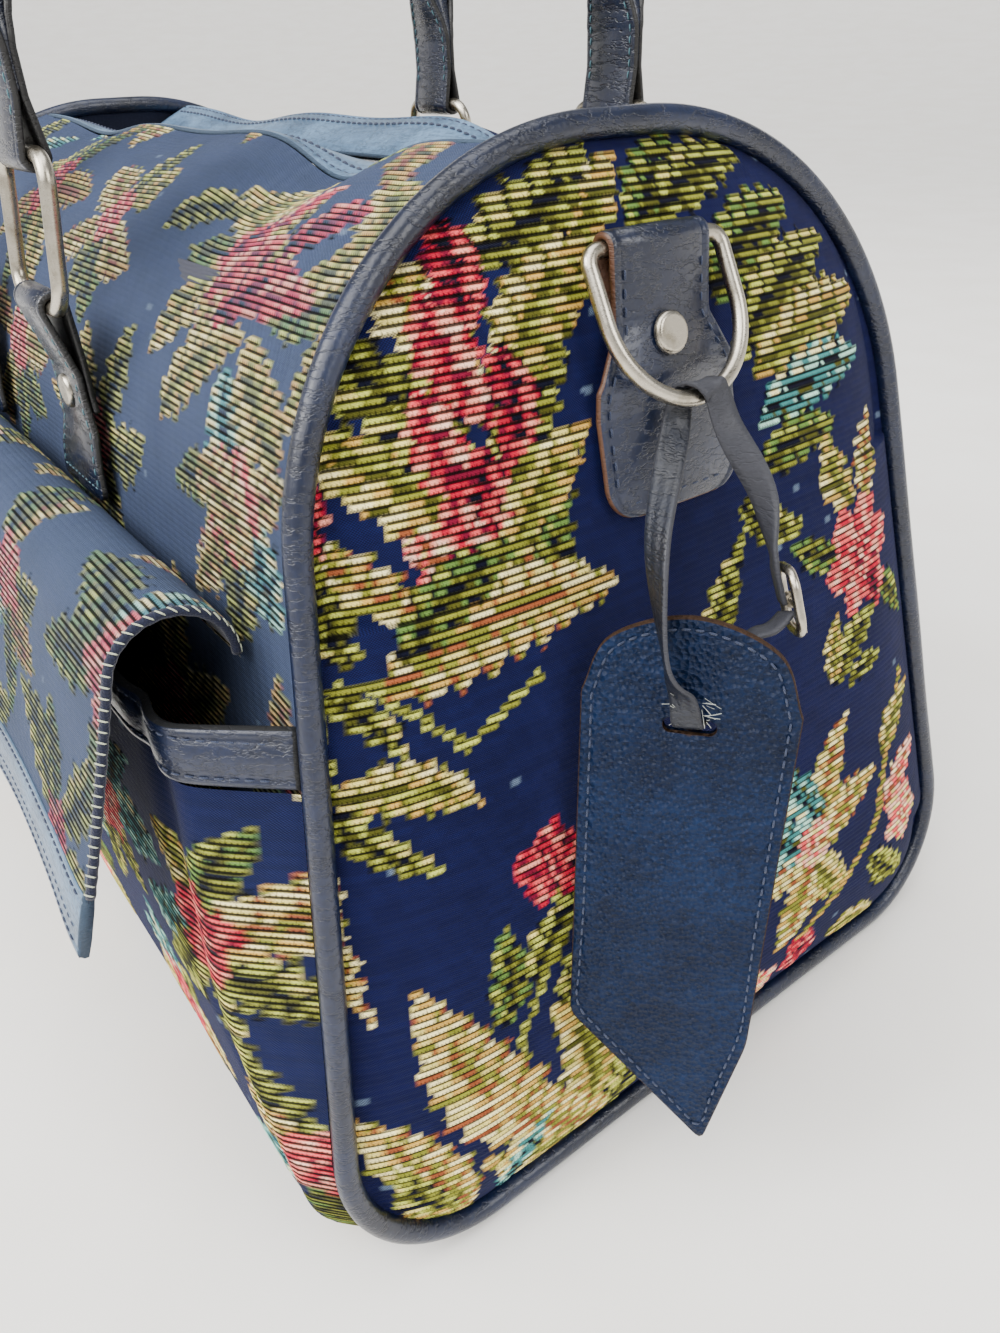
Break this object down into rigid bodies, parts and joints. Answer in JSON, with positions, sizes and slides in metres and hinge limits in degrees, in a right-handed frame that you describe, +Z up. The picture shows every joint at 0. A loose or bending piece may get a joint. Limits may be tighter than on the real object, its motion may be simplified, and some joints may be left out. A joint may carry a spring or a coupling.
{
  "type": "carpet bag",
  "caption": "Zipped floral tapestry carpet bag with leaning domed ends, a flapped front pocket, leather handles on metal rings, end D-rings and a strapped leather luggage tag.",
  "frame": {"origin": "centre of the overall bounding box on the floor", "axes": "+X along the bag's length towards the end with the luggage tag, -Y towards the front pocket, +Z up"},
  "size_m": [0.554, 0.325, 0.4215],
  "materials": {
    "tapestry": "woven floral tapestry",
    "navy_leather": "smooth navy leather",
    "navy_hide": "glazed navy leather with raw brown edges",
    "lining_cloth": "plain navy cotton",
    "board": "cloth covered fibre board",
    "zip_tape": "grey woven tape",
    "zip_metal": "nickel plated zip chain",
    "nickel": "polished nickel plate"
  },
  "bodies": {
    "bag": {"front_panel": "tapestry", "back_panel": "tapestry", "base_panel": "tapestry", "lining": "lining_cloth", "base_board": "board", "end_panel_right": "tapestry", "end_panel_left": "tapestry", "end_piping_right": "navy_leather", "end_piping_left": "navy_leather", "zip_facing_front": "navy_leather", "zip_facing_rear": "navy_leather", "zip_tape_front": "zip_tape", "zip_tape_rear": "zip_tape", "zip_teeth_front": "zip_metal", "zip_teeth_rear": "zip_metal", "pocket_panel": "tapestry", "pocket_binding": "navy_leather", "pocket_flap": "tapestry", "flap_lining": "lining_cloth", "flap_trim": "navy_leather", "front_chape_right": "navy_leather", "front_chape_left": "navy_leather", "rear_chape_right": "navy_leather", "rear_chape_left": "navy_leather", "chape_rivets": "nickel", "end_tab_right": "navy_hide", "end_tab_left": "navy_hide", "tab_rivets": "nickel"},
    "zip_slider": {"zip_slider": "zip_metal"},
    "zip_pull": {"zip_pull": "zip_metal"},
    "front_rings": {"front_ring_right": "nickel", "front_ring_left": "nickel"},
    "handle_front": {"handle_front": "navy_leather", "handle_rivets_front": "nickel"},
    "rear_rings": {"rear_ring_right": "nickel", "rear_ring_left": "nickel"},
    "handle_rear": {"handle_rear": "navy_leather", "handle_rivets_rear": "nickel"},
    "d_ring_right": {"d_ring_right": "nickel"},
    "d_ring_left": {"d_ring_left": "nickel"},
    "tag_strap": {"tag_strap": "navy_hide", "tag_buckle": "nickel"},
    "buckle_prong": {"buckle_prong": "nickel"},
    "tag": {"tag_front": "navy_hide", "tag_back": "navy_hide"}
  },
  "joints": [
    {"name": "zip_slide", "type": "slide", "parent": "bag", "child": "zip_slider", "axis": [1, 0, 0], "range_m": [0, 0.3]},
    {"name": "zip_pull_swing", "type": "hinge", "parent": "zip_slider", "child": "zip_pull", "pos_m": [-0.16998, 0.0169, 0.2962], "axis": [0, -1, 0], "range_deg": [0, 170]},
    {"name": "front_rings_swing", "type": "hinge", "parent": "bag", "child": "front_rings", "pos_m": [-0.01998, -0.1041, 0.2625], "axis": [1, 0, 0], "range_deg": [-12, 112]},
    {"name": "front_handle_swing", "type": "hinge", "parent": "front_rings", "child": "handle_front", "pos_m": [-0.01998, -0.0984, 0.3031], "axis": [1, 0, 0], "range_deg": [-38, 48]},
    {"name": "rear_rings_swing", "type": "hinge", "parent": "bag", "child": "rear_rings", "pos_m": [-0.01998, 0.1379, 0.2625], "axis": [-1, 0, 0], "range_deg": [-12, 112]},
    {"name": "rear_handle_swing", "type": "hinge", "parent": "rear_rings", "child": "handle_rear", "pos_m": [-0.01998, 0.13219, 0.3031], "axis": [-1, 0, 0], "range_deg": [-38, 48]},
    {"name": "d_ring_right_swing", "type": "hinge", "parent": "bag", "child": "d_ring_right", "pos_m": [0.1937, 0.0099, 0.28147], "axis": [0, -1, 0], "range_deg": [0, 150]},
    {"name": "d_ring_left_swing", "type": "hinge", "parent": "bag", "child": "d_ring_left", "pos_m": [-0.23366, 0.0099, 0.28147], "axis": [0, 1, 0], "range_deg": [0, 150]},
    {"name": "tag_strap_swing", "type": "hinge", "parent": "d_ring_right", "child": "tag_strap", "pos_m": [0.21254, 0.0099, 0.24618], "axis": [0, -1, 0], "range_deg": [0, 60]},
    {"name": "tag_swing", "type": "hinge", "parent": "tag_strap", "child": "tag", "pos_m": [0.24262, -0.018, 0.1724], "axis": [0.6106, -0.7541, 0.2419], "range_deg": [0, 8]},
    {"name": "buckle_prong_swing", "type": "hinge", "parent": "tag_strap", "child": "buckle_prong", "pos_m": [0.24502, 0.0144, 0.199], "axis": [-0.7523, 0.5903, -0.2926], "range_deg": [-30, 0]}
  ]
}
